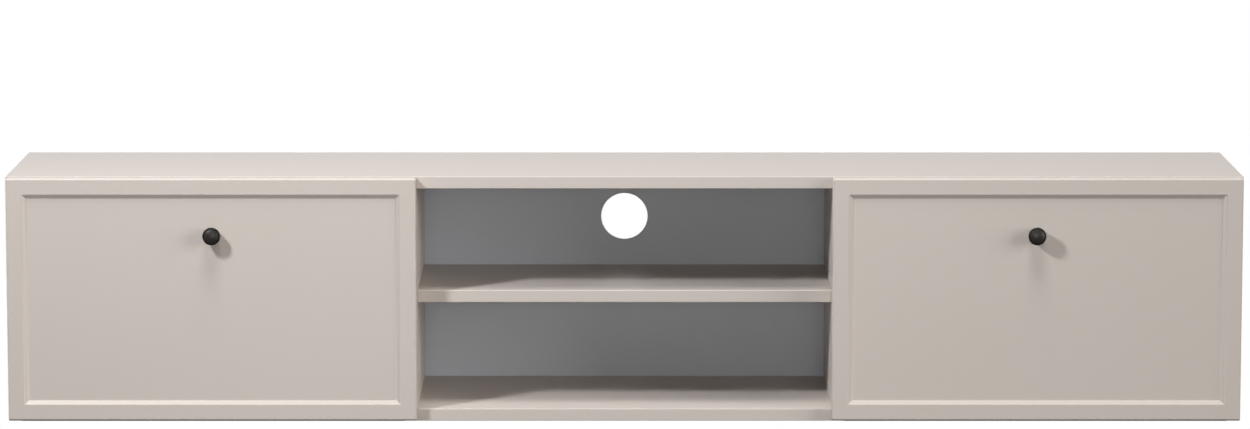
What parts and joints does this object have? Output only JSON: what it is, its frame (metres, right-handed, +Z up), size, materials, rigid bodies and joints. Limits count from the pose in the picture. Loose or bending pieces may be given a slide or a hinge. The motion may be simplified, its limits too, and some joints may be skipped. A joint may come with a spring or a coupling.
{
  "type": "floating media console",
  "caption": "Long wall-hung media cabinet with an open shelved middle bay between two drop-down flaps with milled frames and round knobs.",
  "frame": {"origin": "centre of the bounding box in plan, at the bottom panel's underside", "axes": "+X to the right along the length, +Y towards the wall, +Z up"},
  "size_m": [1.8, 0.34, 0.36],
  "materials": {
    "board": "matte cashmere-grey laminate on chipboard",
    "flap_lacquer": "matte cashmere-grey lacquered fibreboard",
    "back_board": "thin grey hardboard",
    "knob_black": "matte black",
    "beech": "bare beech",
    "plated_steel": "zinc plated",
    "stay_tube": "satin dark grey",
    "stay_rod": "polished",
    "catch_plastic": "moulded"
  },
  "bodies": {
    "carcass": {"bottom_panel": "board", "top_panel": "board", "side_panel_left": "board", "side_panel_right": "board", "divider_left": "board", "divider_right": "board", "centre_shelf": "board", "hanging_rail_left": "board", "hanging_rail_right": "board", "back_panel_centre": "back_board", "back_panel_left": "back_board", "back_panel_right": "back_board", "cam_locks": "plated_steel", "cam_bolts": "plated_steel", "dowels": "beech", "hinge_leaf_carcass_left": "plated_steel", "hinge_leaf_carcass_right": "plated_steel", "hinge_pin_left": "plated_steel", "hinge_pin_right": "plated_steel", "stay_wall_bracket_left": "plated_steel", "stay_wall_bracket_right": "plated_steel", "catch_housing_left": "catch_plastic", "catch_housing_right": "catch_plastic", "catch_magnet_left": "plated_steel", "catch_magnet_right": "plated_steel"},
    "left_flap": {"flap_left": "flap_lacquer", "knob_left": "knob_black", "knob_screw_left": "plated_steel", "hinge_leaf_flap_left": "plated_steel", "stay_flap_bracket_left": "plated_steel", "strike_plate_left": "plated_steel"},
    "left_stay_cylinder": {"stay_cylinder_left": "stay_tube"},
    "left_stay_rod": {"stay_rod_left": "stay_rod"},
    "right_flap": {"flap_right": "flap_lacquer", "knob_right": "knob_black", "knob_screw_right": "plated_steel", "hinge_leaf_flap_right": "plated_steel", "stay_flap_bracket_right": "plated_steel", "strike_plate_right": "plated_steel"},
    "right_stay_cylinder": {"stay_cylinder_right": "stay_tube"},
    "right_stay_rod": {"stay_rod_right": "stay_rod"}
  },
  "joints": [
    {"name": "left_flap_drop", "type": "hinge", "parent": "carcass", "child": "left_flap", "pos_m": [-0.6003, -0.1317, 0.00175], "axis": [1, 0, 0], "range_deg": [0, 90]},
    {"name": "left_stay_cylinder_swing", "type": "hinge", "parent": "carcass", "child": "left_stay_cylinder", "pos_m": [-0.868, 0.06424, 0.04183], "axis": [1, 0, 0], "range_deg": [0, 45]},
    {"name": "left_stay_rod_swing", "type": "hinge", "parent": "left_flap", "child": "left_stay_rod", "pos_m": [-0.868, -0.1197, 0.20139], "axis": [1, 0, 0], "range_deg": [-45, 0]},
    {"name": "right_flap_drop", "type": "hinge", "parent": "carcass", "child": "right_flap", "pos_m": [0.6003, -0.1317, 0.00175], "axis": [1, 0, 0], "range_deg": [0, 90]},
    {"name": "right_stay_cylinder_swing", "type": "hinge", "parent": "carcass", "child": "right_stay_cylinder", "pos_m": [0.868, 0.06424, 0.04183], "axis": [1, 0, 0], "range_deg": [0, 45]},
    {"name": "right_stay_rod_swing", "type": "hinge", "parent": "right_flap", "child": "right_stay_rod", "pos_m": [0.868, -0.1197, 0.20139], "axis": [1, 0, 0], "range_deg": [-45, 0]}
  ],
  "couplings": [
    {"joint": "left_stay_cylinder_swing", "follows": "left_flap_drop", "ratio": 0.5},
    {"joint": "left_stay_rod_swing", "follows": "left_flap_drop", "ratio": -0.5},
    {"joint": "right_stay_cylinder_swing", "follows": "right_flap_drop", "ratio": 0.5},
    {"joint": "right_stay_rod_swing", "follows": "right_flap_drop", "ratio": -0.5}
  ]
}
